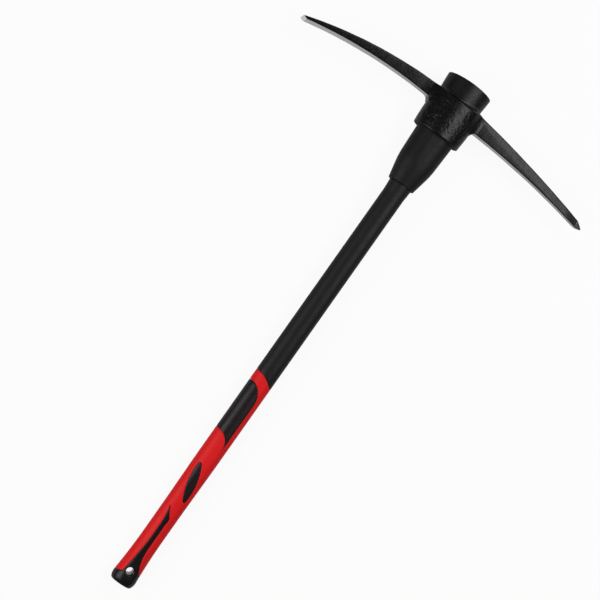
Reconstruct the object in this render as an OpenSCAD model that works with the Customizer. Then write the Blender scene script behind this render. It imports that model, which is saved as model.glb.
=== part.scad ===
// Pick axe with a forged chisel-and-point head, a moulded fibreglass handle and a two-colour grip.
// The tool lies on its side: the handle runs along Y with the butt at -Y, the arms run along X with
// the chisel at -X, and Z is up. Heights along the handle are measured from the butt.

/* [Overall] */
// Length from the butt to the top of the eye
overall_length = 900; // [800:5:1000]
// Film of adhesive or moulding clearance between nested pieces
bond_gap = 0.15; // [0.05:0.05:0.3]
// Parting line between the grip and what is let into it
seam_gap = 0.25; // [0.1:0.05:0.5]

/* [Shaft] */
// Width of the shaft, in the plane of the arms
shaft_width = 35; // [32:0.5:38]
// Depth of the shaft, across the plane of the arms
shaft_depth = 29; // [26:0.2:31]
// Width of the fibreglass rod
core_width = 21; // [16:0.5:23]
// How far the rod's end lies below the top of the eye
core_recess = 3; // [1:0.5:8]
// Rise of the shaft's seat under the neck sleeve
seat_rise = 1.2; // [0.6:0.1:2.5]
// Length of the taper up to that seat
seat_length = 18; // [10:1:30]

/* [Grip] */
// Width of the grip where it is narrowest
grip_waist = 33.2; // [31:0.2:35]
// Wall of the red skin at the waist
grip_wall = 2.8; // [2.4:0.1:3.6]
// Height of the grip's top edge on its tall side
grip_top = 372; // [340:1:420]
// How far the top edge falls towards its short side
grip_slant = 15.5; // [5:0.5:25]
// Height at which the grip starts to swell to the shaft
swell_start = 120; // [100:5:160]
// Height at which the grip has the shaft's section
swell_end = 230; // [190:5:300]
// Depth of the pockets for the black pieces
inlay_depth = 1.5; // [1:0.1:1.8]

/* [Shoulder panel] */
// Gap between the grip's top edge and the panel's top edge
panel_margin = 17.5; // [10:0.5:30]
// Length of the panel from its top to its lower point
panel_length = 112; // [90:1:125]
// Distance of the panel's side edge from the middle of the face
panel_side = 9; // [6:0.5:12]
// Height of the panel's curved top
panel_curve = 30; // [20:1:40]
// How far the panel's lower edge rises towards the narrow side
panel_rise = 27; // [10:1:40]

/* [Leaf inlay] */
// Length of a leaf
leaf_length = 64; // [50:1:80]
// Width of a leaf
leaf_width = 14; // [10:0.2:16]
// Radius of a leaf's ends
leaf_round = 2.4; // [0.5:0.1:3]
// Height of the middle of a leaf
leaf_height = 181; // [170:1:190]
// Lean of a leaf from the handle's axis
leaf_lean = 13; // [5:1:20]

/* [Butt] */
// Width of the butt where it is widest
butt_width = 39; // [36:0.2:44]
// Height at which the butt is widest
butt_height = 12; // [9:0.5:15]
// Width of the flat end of the butt
butt_flat = 29; // [24:0.5:33]
// Height of the flare from the waist to the butt
flare_height = 84; // [60:1:100]
// Radius of the hang hole
hang_radius = 6; // [4:0.5:7]
// Height of the hang hole
hang_height = 23.5; // [21:0.5:27]
// Height of the cap's plug inside the grip
plug_height = 40; // [36:1:48]
// Width of the tongue on each face
tongue_width = 6.8; // [4:0.2:9]
// Height at which the tongue starts to flare into the cap
tongue_flare = 76; // [48:1:90]
// Height of the tongue's shoulder
tongue_shoulder = 116; // [100:1:122]
// Length of the tongue's slanted tip past its shoulder
tongue_tip = 20; // [12:1:24]
// Height of the cap's edge on the low narrow side
cap_edge_low = 14; // [12.5:0.5:18]
// Height of the cap's edge on the high narrow side
cap_edge_high = 19.5; // [15:0.5:23]

/* [Neck sleeve] */
// Step of the sleeve's lower end above the shaft
neck_step = 4.8; // [3.8:0.1:7]
// Width of the sleeve where it enters the eye
neck_width = 63.4; // [60:0.2:68]
// Length of the sleeve below the eye
neck_length = 89; // [75:1:105]
// Width of the sleeve at the knee between its steep and its slight taper
neck_knee_width = 59; // [54:0.2:62]
// Height of the knee above the sleeve's lower end
neck_knee = 37; // [28:1:50]
// Length over which the knee is rounded
neck_round = 20; // [8:1:40]
// Depth of the sleeve's spigot in the eye
spigot_depth = 30; // [15:1:45]

/* [Eye] */
// Height of the eye from its lower rim to its top
eye_height = 92.7; // [84:0.1:110]
// Depth of the head's oval for each unit of its width
eye_aspect = 0.78; // [0.76:0.01:0.86]
// Side wall of the eye at its lower rim
eye_wall = 7.4; // [5:0.1:9]
// How much wider the eye's bore is at its top
eye_taper = 3; // [1:0.5:5]
// How far the body swells past its lower rim, each side
body_swell = 1.6; // [0.5:0.1:4]
// Distance from the top of the eye down to the shoulder
shoulder_drop = 28.7; // [22:0.1:32]
// Width of the shoulder's ledge, each side
shoulder_ledge = 4.7; // [3:0.1:6]
// Wall of the upper tube at its rim
tube_wall = 4.5; // [3.5:0.1:6]
// Rise of the crowned rims in the middle of the face
rim_crown = 1.3; // [0.5:0.1:3]
// How far the resin lies below the top of the eye
resin_recess = 4; // [3:0.5:8]

/* [Arms] */
// Reach of each arm from the handle's axis
arm_reach = 264.5; // [220:0.5:300]
// Thickness of the arms at the eye
arm_thickness = 22; // [18:0.5:26]
// Radius of the fillets at the arms' roots
root_fillet = 10; // [6:0.5:14]
// Radius of the flares from the arms' sides to the eye
root_flare = 18; // [12:0.5:22]

/* [Chisel arm] */
// Height of the chisel arm at its root
chisel_root = 22.3; // [18:0.1:28]
// Fall of the chisel arm's top to its edge
chisel_fall = 38; // [20:0.5:50]
// Radius of the chisel arm's top
chisel_top_radius = 715; // [500:5:1000]
// Radius of the chisel arm's underside
chisel_under_radius = 780; // [650:10:1200]
// Thickness at the end of the chisel arm, before grinding
chisel_end = 4; // [2.5:0.1:6]
// Width of the chisel's edge
chisel_width = 36; // [26:0.5:45]
// Length of the ground bevel
bevel_length = 11; // [6:0.5:16]

/* [Point arm] */
// Height of the point arm at its root
point_root = 26.5; // [20:0.5:30]
// Fall of the point arm's top to its end
point_fall = 41; // [25:1:55]
// Radius of the point arm's top
point_top_radius = 1790; // [900:10:2500]
// Radius of the point arm's underside
point_under_radius = 1340; // [900:10:2500]
// Height at the end of the point arm, before grinding
point_end = 10; // [6:0.5:14]
// Thickness of the point arm where the ground tip starts
point_width = 16; // [12:0.5:20]
// Length of the ground tip
tip_length = 15; // [8:0.5:25]
// Width of the blunt end of the tip
tip_blunt = 2.4; // [1:0.1:4]
// Lean of the point arm's upper side facets
facet_lean = 11; // [4:0.5:16]
// Depth below the shoulder at which the facets start, at the root
facet_start = 5.3; // [2:0.1:13]
// Width between the facets along the top of the point's end
facet_end = 11.4; // [8:0.2:15]

/* [Hidden] */
$fn = 72;
// Facets of the long arcs of the arms
arc_fn = 360;
// Facets of the small rounds of the leaves
leaf_fn = 36;
// Stations along a curved stretch of a turned profile
stations = 8;
// How sharply the cap's edge turns into its tongue, on the low and on the high side
low_turn = 1.3;
high_turn = 3.2;
// Overshoot of cutting shapes past what they cut
over = 1;

shaft_aspect = shaft_depth / shaft_width;
neck_core = grip_waist - 2 * grip_wall;
rim_height = overall_length - eye_height;
spigot_top = rim_height + spigot_depth;
neck_bottom = rim_height - neck_length;
neck_low_width = shaft_width + 2 * neck_step;
eye_low = neck_width / 2 + bond_gap;
eye_high = eye_low + eye_taper / 2;
rim_radius = eye_low + eye_wall;
body_radius = rim_radius + body_swell;
tube_foot = body_radius - shoulder_ledge;
tube_rim = eye_high + tube_wall;
shoulder_height = overall_length - shoulder_drop;
swell_height = shoulder_height - shoulder_drop;
body_depth = 2 * body_radius * eye_aspect;
axis_height = body_depth / 2;
// The arms start inside the wall of the eye
arm_start = eye_high + eye_wall / 2;
cut_depth = body_depth + 2 * over;
cut_half = butt_width;

// The handle's frame: butt on the axis to the part's own frame
module from_butt() {
    translate([0, -overall_length / 2, axis_height]) children();
}

// A turned profile of [half-width, height] points, squashed to an oval along the handle.
// Its two halves meet on the narrow sides, as the halves of a mould do.
module oval(points, aspect) {
    rotate([-90, 0, 0]) for (half_turn = [0, 180]) {
        scale([1, aspect, 1]) rotate(half_turn) rotate_extrude(angle = 180) polygon(points);
    }
}

// A straight oval bar of the shaft's proportions
module oval_bar(width, low, high) {
    oval([[0, low], [width / 2, low], [width / 2, high], [0, high]], shaft_aspect);
}

// An outline of the plane of the arms, cut right through the tool
module through() {
    translate([0, 0, -cut_depth / 2]) linear_extrude(cut_depth) children();
}

// Half-width of the handle's skin at a height above the butt's widest place
function skin_radius(y) =
    y < flare_height
        ? grip_waist / 2 + (butt_width - grip_waist) / 2
            * pow((flare_height - y) / (flare_height - butt_height), 2)
    : y < swell_start ? grip_waist / 2
    : y < swell_end
        ? grip_waist / 2 + (shaft_width - grip_waist) / 4
            * (1 - cos(180 * (y - swell_start) / (swell_end - swell_start)))
    : shaft_width / 2;

// Profile of the handle's skin, from the flat butt up to a height past the grip
function skin_points(inset, high) = concat(
    [[0, 0]],
    [for (i = [0 : stations])
        [(butt_flat + (butt_width - butt_flat) * sin(90 * i / stations)) / 2 - inset,
            butt_height * (1 - cos(90 * i / stations))]],
    [for (i = [1 : stations])
        let (y = butt_height + (flare_height - butt_height) * i / stations)
        [skin_radius(y) - inset, y]],
    [for (i = [0 : stations])
        let (y = swell_start + (swell_end - swell_start) * i / stations)
        [skin_radius(y) - inset, y]],
    [[shaft_width / 2 - inset, high], [0, high]]);

// The handle's skin as a solid, or its core at an inset below the surface
module skin(inset = 0) {
    oval(skin_points(inset, grip_top + over), shaft_aspect);
}

// Height of the grip's top edge across the face
function top_edge(x) =
    grip_top - grip_slant * (1 - cos(90 * (x + shaft_width / 2) / shaft_width));

// What lies above the grip's top edge
module above_grip(raise) {
    through() polygon(concat(
        [for (i = [0 : 2 * stations])
            let (x = shaft_width * (i / stations - 1) / 2)
            [i == 0 ? -cut_half : i == 2 * stations ? cut_half : x, top_edge(x) + raise]],
        [[cut_half, spigot_top + over], [-cut_half, spigot_top + over]]));
}

// Outline of the shoulder panel, open past the narrow side that it wraps
module panel_outline(grow) {
    high = grip_top - panel_margin;
    low = high - panel_length;
    span = shaft_width / 2 + panel_side;
    offset(delta = grow) polygon(concat(
        [[-cut_half, high]],
        [for (i = [0 : stations])
            let (a = 90 * i / stations)
            [-shaft_width / 2 + span * sin(a), high - panel_curve * (1 - cos(a))]],
        [for (i = [0 : stations])
            let (a = 90 * i / stations)
            [panel_side - span * (1 - cos(a)), low + panel_rise * sin(a)]],
        [[-cut_half, low + panel_rise]]));
}

// Outline of a leaf: the lens where two arcs overlap, with rounded ends
module leaf_outline(grow) {
    end = leaf_length / 2 - leaf_round;
    bulge = leaf_width / 2 - leaf_round;
    arc = (pow(end, 2) + pow(bulge, 2)) / (2 * bulge);
    round = leaf_round + grow;
    // Where the side arcs run into the rounds of the ends
    tangent = end * (1 + round / arc);
    translate([0, leaf_height]) rotate(leaf_lean) {
        intersection() {
            translate([arc - bulge, 0]) circle(arc + round, $fn = arc_fn);
            translate([bulge - arc, 0]) circle(arc + round, $fn = arc_fn);
            translate([-leaf_width, -tangent]) square([2 * leaf_width, 2 * tangent]);
        }
        for (side = [-1, 1]) translate([0, side * end]) circle(round, $fn = leaf_fn);
    }
}

// Outline of the butt cap with its tongue
module cap_outline(grow) {
    half = tongue_width / 2;
    low_reach = butt_width / 4;
    high_reach = butt_width / 2;
    offset(delta = grow) polygon(concat(
        [[-cut_half, -over], [-cut_half, cap_edge_low], [-butt_width / 2, cap_edge_low]],
        [for (i = [0 : stations])
            let (u = 1 - i / stations)
            [-half - (low_reach - half) * pow(u, low_turn),
                tongue_flare - (tongue_flare - (cap_edge_low + hang_height) / 2) * u]],
        [[-half, tongue_shoulder - tongue_tip / 4],
            [-half - tongue_tip / 5, tongue_shoulder + tongue_tip],
            [half, tongue_shoulder]],
        [for (i = [0 : stations])
            let (u = i / stations)
            [half + (high_reach - half) * pow(u, high_turn),
                tongue_flare - (tongue_flare - cap_edge_high) * u]],
        [[cut_half, cap_edge_high], [cut_half, -over]]));
}

// A slab of the tool between two heights
module between(low, high) {
    translate([-cut_half, low, -cut_depth / 2]) cube([2 * cut_half, high - low, cut_depth]);
}

// The shell layer of the skin inside an outline
module inlay() {
    difference() {
        intersection() {
            skin();
            through() children();
        }
        skin(inlay_depth);
    }
}

// The pocket that such a layer lies in
module pocket() {
    difference() {
        through() children();
        skin(inlay_depth + seam_gap);
    }
}

// Heights and half-widths of the head's outside, from the lower rim to the top
function body_points() = concat(
    [[0, rim_height]],
    [for (i = [0 : stations])
        let (y = rim_height + (swell_height - rim_height) * i / stations)
        [rim_radius + body_swell * sin(90 * i / stations), y]],
    [[body_radius, shoulder_height], [tube_foot, shoulder_height],
        [tube_rim, overall_length], [0, overall_length]]);

// Centre of an arc of a radius that runs from one point to another, bulging up
function arc_centre(from, to, radius) =
    let (chord = to - from, half = norm(chord) / 2,
        drop = sqrt(radius * radius - half * half),
        normal = [chord[1], -chord[0]] / (2 * half))
    (from + to) / 2 + drop * (normal[1] < 0 ? normal : -normal);

module arc_disc(from, to, radius) {
    translate(arc_centre(from, to, radius)) circle(radius, $fn = arc_fn);
}

// Side outline of an arm that runs towards +X, between its top arc and its underside arc
module arm_outline(top_from, top_to, top_radius, under_from, under_to, under_radius) {
    corner = [body_radius, under_from[1]];
    difference() {
        intersection() {
            arc_disc(top_from, top_to, top_radius);
            translate([arm_start - eye_wall / 2, under_to[1] - under_radius])
                square([arm_reach - arm_start + eye_wall / 2, 2 * under_radius]);
        }
        arc_disc(under_from, under_to, under_radius);
    }
    // Fillet from the underside to the body
    difference() {
        translate([arm_start - eye_wall / 2, corner[1] - root_fillet])
            square([corner[0] + root_fillet - arm_start + eye_wall / 2, root_fillet + over]);
        translate([corner[0] + root_fillet, corner[1] - root_fillet]) circle(root_fillet);
        translate([corner[0] + root_fillet, corner[1] - 2 * root_fillet])
            square(2 * root_fillet);
        arc_disc(under_from, under_to, under_radius);
    }
}

// Plan of an arm: its thickness along its length, flared where it meets the eye
module arm_plan(stops) {
    points = [for (stop = stops) [stop[0], stop[1] / 2]];
    flare_end = body_radius + root_flare / 2;
    polygon(concat(points, [for (i = [len(stops) - 1 : -1 : 0]) [points[i][0], -points[i][1]]]));
    for (side = [0, 1]) mirror([0, side]) difference() {
        translate([arm_start, 0])
            square([flare_end - arm_start, arm_thickness / 2 + root_flare / 2]);
        translate([flare_end, arm_thickness / 2 + root_flare]) circle(root_flare);
    }
}

// An arm that runs towards +X: its side outline, held to its plan
module arm(stops) {
    intersection() {
        through() children();
        translate([0, overall_length, 0]) rotate([90, 0, 0])
            linear_extrude(overall_length) arm_plan(stops);
    }
}

// The chisel arm, drawn towards +X
module chisel_arm() {
    root = [body_radius, shoulder_height];
    edge = [arm_reach, shoulder_height - chisel_fall];
    root_under = root - [0, chisel_root];
    edge_under = edge - [0, chisel_end];
    arm([[arm_start, arm_thickness], [body_radius + root_flare, arm_thickness],
            [arm_reach - bevel_length, chisel_width], [arm_reach, chisel_width]])
        difference() {
            arm_outline(root, edge, chisel_top_radius, root_under, edge_under, chisel_under_radius);
            // Ground bevel under the edge
            polygon([edge + [over, 0], edge + [0, -chisel_end / 8],
                edge_under + [-bevel_length, 0], edge_under + [-bevel_length, -chisel_root],
                edge_under + [over, -chisel_root]]);
        }
}

// The point arm
module point_arm() {
    root = [body_radius, shoulder_height];
    end = [arm_reach, shoulder_height - point_fall];
    root_under = root - [0, point_root];
    end_under = end - [0, point_end];
    grind = arm_reach - tip_length;
    tip = (end + end_under) / 2;
    // Where the upper facets meet the sides at the root
    facet_foot = [body_radius, shoulder_height - facet_start, arm_thickness / 2];
    facet_taper = atan(((arm_thickness - facet_end) / 2 + tan(facet_lean) * (point_fall - facet_start))
        / (arm_reach - body_radius));
    difference() {
        arm([[arm_start, arm_thickness], [body_radius + root_flare, arm_thickness],
                [grind, point_width], [arm_reach, tip_blunt]])
            intersection() {
                arm_outline(root, end, point_top_radius, root_under, end_under, point_under_radius);
                polygon([[0, 0], [grind, end_under[1]], tip - [0, tip_blunt / 2],
                    tip + [0, tip_blunt / 2], [grind, end[1] + point_end / 2],
                    [grind, overall_length], [0, overall_length]]);
            }
        for (side = [0, 1]) mirror([0, 0, side])
            translate(facet_foot) rotate([-facet_lean, facet_taper, 0])
                translate([-arm_reach, -arm_reach, 0]) cube(2 * arm_reach);
    }
}

// Caps a solid between the crowned lower rim and the crowned top of the eye
module crowned() {
    crown_radius = (pow(rim_radius, 2) + pow(rim_crown, 2)) / (2 * rim_crown);
    intersection() {
        children();
        translate([0, overall_length - crown_radius, -cut_depth / 2])
            cylinder(h = cut_depth, r = crown_radius, $fn = arc_fn);
        translate([0, rim_height + crown_radius, -cut_depth / 2])
            cylinder(h = cut_depth, r = crown_radius, $fn = arc_fn);
    }
}

module pick_head() {
    color("#26282a") from_butt() difference() {
        union() {
            crowned() oval(body_points(), eye_aspect);
            mirror([1, 0, 0]) chisel_arm();
            point_arm();
        }
        // Tapered bore of the eye
        oval([[0, rim_height - over],
            [eye_low - eye_taper / 2 * over / eye_height, rim_height - over],
            [eye_high + eye_taper / 2 * over / eye_height, overall_length + over],
            [0, overall_length + over]], eye_aspect);
    }
}

module eye_resin() {
    low = spigot_top + bond_gap;
    high = overall_length - resin_recess;
    radius_low = eye_low + eye_taper / 2 * spigot_depth / eye_height;
    radius_high = eye_high - eye_taper / 2 * resin_recess / eye_height;
    color("#3a352c") from_butt() difference() {
        oval([[0, low], [radius_low - bond_gap, low], [radius_high - bond_gap, high], [0, high]],
            eye_aspect);
        oval_bar(core_width + 2 * bond_gap, low - over, high + over);
    }
}

module core_rod() {
    color("#c9b98a") from_butt()
        oval_bar(core_width, plug_height + 2 * bond_gap, overall_length - core_recess);
}

module shaft_jacket() {
    low = plug_height + bond_gap;
    color("#1d1e20") from_butt() difference() {
        union() {
            oval_bar(neck_core, low, spigot_top);
            intersection() {
                oval_bar(shaft_width, grip_top - grip_slant - over, spigot_top);
                above_grip(seam_gap);
            }
            // Seat that the neck sleeve stands on
            oval([[0, neck_bottom - seat_length], [shaft_width / 2, neck_bottom - seat_length],
                [shaft_width / 2 + seat_rise, neck_bottom - bond_gap],
                [0, neck_bottom - bond_gap]], shaft_aspect);
        }
        oval_bar(core_width + 2 * bond_gap, low - over, spigot_top + over);
    }
}

module neck_sleeve() {
    low = neck_low_width / 2;
    high = neck_width / 2;
    knee = [neck_knee_width / 2, neck_bottom + neck_knee];
    // Ends of the rounding, on the steep taper and on the slight one
    round_low = knee + ([low, neck_bottom] - knee) * neck_round / 2 / neck_knee;
    round_high = knee + ([high, rim_height] - knee) * neck_round / 2 / (neck_length - neck_knee);
    color("#222325") from_butt() difference() {
        oval(concat(
            [[0, neck_bottom], [low, neck_bottom]],
            [for (i = [0 : stations])
                let (u = i / stations)
                pow(1 - u, 2) * round_low + 2 * u * (1 - u) * knee + u * u * round_high],
            [[high, rim_height], [high, spigot_top], [0, spigot_top]]), eye_aspect);
        oval_bar(shaft_width + 2 * bond_gap, neck_bottom - over, spigot_top + over);
    }
}

module grip_sleeve() {
    color("#d3202a") from_butt() difference() {
        skin();
        above_grip(0);
        oval_bar(neck_core + 2 * bond_gap, plug_height, grip_top + 2 * over);
        intersection() {
            skin(grip_wall - bond_gap);
            between(-over, plug_height + bond_gap);
        }
        pocket() panel_outline(seam_gap);
        pocket() leaf_outline(seam_gap);
        pocket() cap_outline(seam_gap);
        intersection() {
            through() cap_outline(seam_gap);
            between(-over, plug_height + bond_gap);
        }
    }
}

module shoulder_panel() {
    color("#2b2527") from_butt() inlay() panel_outline(0);
}

module leaf_inlay(front) {
    color("#2b2527") from_butt() intersection() {
        inlay() leaf_outline(0);
        translate([-cut_half, 0, front ? 0 : -cut_depth])
            cube([2 * cut_half, overall_length, cut_depth]);
    }
}

module leaf_inlay_front() {
    leaf_inlay(true);
}

module leaf_inlay_back() {
    leaf_inlay(false);
}

module butt_cap() {
    color("#26282a") from_butt() difference() {
        union() {
            inlay() cap_outline(0);
            intersection() {
                skin();
                through() cap_outline(0);
                between(-over, plug_height);
            }
            intersection() {
                skin(grip_wall);
                between(0, plug_height);
            }
        }
        translate([0, hang_height, -cut_depth / 2]) cylinder(h = cut_depth, r = hang_radius);
    }
}

pick_head();
eye_resin();
core_rod();
shaft_jacket();
neck_sleeve();
grip_sleeve();
shoulder_panel();
leaf_inlay_front();
leaf_inlay_back();
butt_cap();
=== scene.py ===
"""A pick axe: a forged head with a chisel and a point, on a moulded handle with a red and black grip.

Shapes are worked out in the tool's own millimetres: x along the arms with the point at +x, y along
the handle from the butt, and z out of the plane of the arms from the handle's axis.
"""
import math

import bmesh
import bpy
import numpy as np
import openvdb
from mathutils import Matrix, Vector
from mathutils.geometry import delaunay_2d_cdt


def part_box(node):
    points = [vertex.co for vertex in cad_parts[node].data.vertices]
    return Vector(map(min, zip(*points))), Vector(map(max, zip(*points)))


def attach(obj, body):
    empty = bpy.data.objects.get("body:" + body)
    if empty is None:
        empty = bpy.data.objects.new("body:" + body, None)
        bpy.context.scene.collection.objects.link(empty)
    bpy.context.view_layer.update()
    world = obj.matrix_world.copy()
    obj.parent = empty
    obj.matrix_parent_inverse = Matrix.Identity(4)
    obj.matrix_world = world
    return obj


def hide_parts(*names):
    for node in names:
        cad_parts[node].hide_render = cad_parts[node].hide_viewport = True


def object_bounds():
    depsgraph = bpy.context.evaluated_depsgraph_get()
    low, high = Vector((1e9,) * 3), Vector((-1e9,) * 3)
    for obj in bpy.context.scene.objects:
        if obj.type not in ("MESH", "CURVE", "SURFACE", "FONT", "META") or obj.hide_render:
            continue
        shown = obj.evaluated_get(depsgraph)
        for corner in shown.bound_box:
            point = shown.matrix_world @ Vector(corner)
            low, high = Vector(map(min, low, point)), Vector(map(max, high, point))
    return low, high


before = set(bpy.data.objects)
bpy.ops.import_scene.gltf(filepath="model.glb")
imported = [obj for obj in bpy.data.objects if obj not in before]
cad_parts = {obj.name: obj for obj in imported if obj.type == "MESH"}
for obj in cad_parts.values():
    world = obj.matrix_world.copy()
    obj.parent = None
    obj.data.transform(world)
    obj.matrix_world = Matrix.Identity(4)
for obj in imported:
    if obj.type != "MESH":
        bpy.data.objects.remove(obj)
cad_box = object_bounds()

MM = 0.001

# The frame's own measures
LENGTH = (cad_box[1].y - cad_box[0].y) / MM
AXIS_HEIGHT = sum(corner.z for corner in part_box("core_rod")) / 2 / MM
BUTT_ON_AXIS = np.array([0.0, -LENGTH / 2, AXIS_HEIGHT])


def in_frame(points):
    """Points in the tool's millimetres as the frame's metres."""
    return (np.asarray(points, float) + BUTT_ON_AXIS) * MM


def tool_box(node):
    """Lowest and highest corner of a CAD node, in the tool's millimetres."""
    return tuple(np.array(corner) / MM - BUTT_ON_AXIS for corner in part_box(node))


HEAD_LOW, HEAD_HIGH = tool_box("pick_head")
SLEEVE_LOW, SLEEVE_HIGH = tool_box("neck_sleeve")
JACKET_LOW, JACKET_HIGH = tool_box("shaft_jacket")
_, GRIP_HIGH = tool_box("grip_sleeve")
PANEL_LOW, PANEL_HIGH = tool_box("shoulder_panel")
LEAF_LOW, LEAF_HIGH = tool_box("leaf_inlay_front")
_, CAP_HIGH = tool_box("butt_cap")
RESIN_LOW, RESIN_HIGH = tool_box("eye_resin")
_, ROD_HIGH = tool_box("core_rod")

# Head: the eye's body, its upper tube and its bore
RIM = HEAD_LOW[1]
REACH = HEAD_HIGH[0]
BODY_RADIUS = 40.85
BODY_SWELL = 1.6
RIM_RADIUS = BODY_RADIUS - BODY_SWELL
EYE_ASPECT = HEAD_HIGH[2] / BODY_RADIUS
SHOULDER = LENGTH - 28.7
SWELL = SHOULDER - 28.7
LEDGE = 4.7
LEDGE_DIP = 5.0
TUBE_RIM = 37.85
RIM_CROWN = 1.3
EYE_LOW = 31.85
EYE_HIGH = 33.35
RIM_ROUND = 1.3
LEDGE_ROUND = 1.0
LEDGE_FILLET = 4.2
BORE_ROUND = 0.8

# Head: the arms
ARM_HALF = 11.0
ARM_EDGE = 0.9
SPINE_EDGE = 0.3
GROUND_EDGE = 0.1
FACET_EDGE = 0.4
FACE_CROWN = 0.7
ROOT_ROUND = 3.0
ROOT_FILLET = 8.0
ROOT_FLARE = 13.0
PLAIN_SIDE = BODY_RADIUS + 18.0
ARM_START = BODY_RADIUS / 2
CHISEL_ROOT = 22.3
CHISEL_FALL = 38.0
CHISEL_TOP_RADIUS = 715.0
CHISEL_UNDER_RADIUS = 780.0
CHISEL_END = 4.0
CHISEL_HALF = 18.0
BEVEL_LENGTH = 11.0
BEVEL_LIP = 0.5
POINT_ROOT = 26.5
POINT_FALL = 41.0
POINT_TOP_RADIUS = 1790.0
POINT_UNDER_RADIUS = 1340.0
POINT_END = 10.0
POINT_HALF = 8.0
TIP_LENGTH = 15.0
TIP_HALF = 1.2
FACET_LEAN = math.radians(11.0)
FACET_START = 5.3
FACET_END_HALF = 5.7
FACET_DROP = ARM_HALF - FACET_END_HALF + math.tan(FACET_LEAN) * (POINT_FALL - FACET_START)
FACET_TAPER = math.atan(FACET_DROP / (REACH - BODY_RADIUS))

# Head: the forged skin
HAMMER_SIZE = 19.0
HAMMER_HEIGHT = 0.16
DENT_SIZE = 7.0
DENT_HEIGHT = 0.05
PEBBLE_SIZE = 3.8
PEBBLE_HEIGHT = 0.42
GRAIN_SIZE = 2.1
GRAIN_HEIGHT = 0.18

# Handle
SHAFT_HALF = 17.5
SHAFT_ASPECT = 29.0 / 35.0
CORE_HALF = 13.8
SEAT_RISE = 1.2
SEAT_LENGTH = 18.0
NECK_KNEE_HALF = 29.5
NECK_KNEE = 37.0
NECK_ROUND = 20.0
NECK_LOW_HALF = SHAFT_HALF + 4.8
NECK_HIGH_HALF = SLEEVE_HIGH[0]
NECK_EDGE = 1.2
NECK_FLAT_LOW = 22.9
NECK_FLAT_HIGH = 23.8
NECK_FLAT_EDGE = 0.2
BOND = 0.15
RESIN_DRAFT = 1.0
RESIN_CREEP = 0.9
RESIN_EDGE = 0.5
RESIN_RIPPLE = 0.15
RESIN_RIPPLE_SIZE = 7.0

# Grip
WAIST_HALF = 16.6
FLARE_HEIGHT = 84.0
SWELL_START = 120.0
SWELL_END = 230.0
BUTT_HALF = CAP_HIGH[0]
BUTT_HEIGHT = 12.0
BUTT_FLAT_HALF = 14.5
GRIP_TOP = GRIP_HIGH[1]
GRIP_SLANT = 15.5
GRIP_WALL = 2.6
INLAY_WALL = 1.5
SEAM = 0.25
SEAM_ROLL = 0.55
SKIN_ROLL = 0.9
INLAY_ROLL = 0.7
ROLL_SHARES = (0.12, 0.35, 0.65, 1.0)
PANEL_SIDE = PANEL_HIGH[0]
PANEL_CURVE = 30.0
PANEL_RISE = 27.0
LEAF_LENGTH = 64.0
LEAF_WIDTH = 14.0
LEAF_ROUND = 2.4
LEAF_LEAN = math.radians(13.0)
LEAF_HEIGHT = (LEAF_LOW[1] + LEAF_HIGH[1]) / 2
TONGUE_HALF = 3.4
TONGUE_FLARE = 76.0
LOW_TURN = 1.3
HIGH_TURN = 3.2
TONGUE_TIP = 20.0
TONGUE_SHOULDER = CAP_HIGH[1] - TONGUE_TIP
CAP_EDGE_LOW = 14.0
CAP_EDGE_HIGH = 19.5
HANG_RADIUS = 6.0
HANG_HEIGHT = 23.5
HANG_ROLL = 1.5
PLUG_HEIGHT = 40.0


# Meshes

def finished(name, mesh, material, smooth_angle):
    """Welds a mesh, turns its faces outwards, smooths it and makes it an object."""
    work = bmesh.new()
    work.from_mesh(mesh)
    bmesh.ops.remove_doubles(work, verts=work.verts, dist=0.002 * MM)
    bmesh.ops.recalc_face_normals(work, faces=work.faces)
    work.to_mesh(mesh)
    work.free()
    mesh.shade_smooth()
    mesh.set_sharp_from_angle(angle=math.radians(smooth_angle))
    mesh.materials.clear()
    mesh.materials.append(material)
    thing = bpy.data.objects.new(name, mesh)
    bpy.context.scene.collection.objects.link(thing)
    return thing


def piece(name, points, faces, material, smooth_angle=40.0, **marks):
    """A mesh object from points in the tool's millimetres, with a number at each point for a mark."""
    mesh = bpy.data.meshes.new(name)
    mesh.from_pydata(in_frame(points).tolist(), [], [[int(k) for k in face] for face in faces])
    for mark, values in marks.items():
        mesh.attributes.new(mark, "FLOAT", "POINT").data.foreach_set("value", values)
    return finished(name, mesh, material, smooth_angle)


def dress(thing, slot, *nodes):
    """Hands a finished piece to the frame in the place of CAD nodes."""
    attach(thing, "root")
    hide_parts(*nodes)


def oval_rings(profile, sides):
    """Points and faces of a closed ring of sections (half width, half depth, height)."""
    turns = np.linspace(0, 2 * math.pi, sides, endpoint=False)
    points = [
        (wide * math.cos(turn), height, deep * math.sin(turn))
        for wide, deep, height in profile
        for turn in turns
    ]
    faces = []
    for row in range(len(profile)):
        this, other = row * sides, (row + 1) % len(profile) * sides
        for k in range(sides):
            after = (k + 1) % sides
            faces.append((this + k, this + after, other + after, other + k))
    return np.array(points), faces


def lumps(points, size, seed):
    """Smooth random heights from -1 to 1 at points, with lumps about a size across."""
    cells = 32
    table = np.random.default_rng(seed).uniform(-1, 1, (cells, cells, cells))
    place = np.asarray(points) / size
    base = np.floor(place).astype(int)
    part = place - base
    part = part * part * (3 - 2 * part)
    total = np.zeros(len(place))
    for corner in np.ndindex(2, 2, 2):
        index = (base + corner) % cells
        weight = np.prod(np.where(np.array(corner), part, 1 - part), axis=1)
        total += weight * table[index[:, 0], index[:, 1], index[:, 2]]
    return total


def ramp(value, low, high):
    """A smooth climb from 0 at low to 1 at high."""
    share = np.clip((value - low) / (high - low), 0, 1)
    return share * share * (3 - 2 * share)


# Head: a field of distances, whose zero surface is the forging

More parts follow.
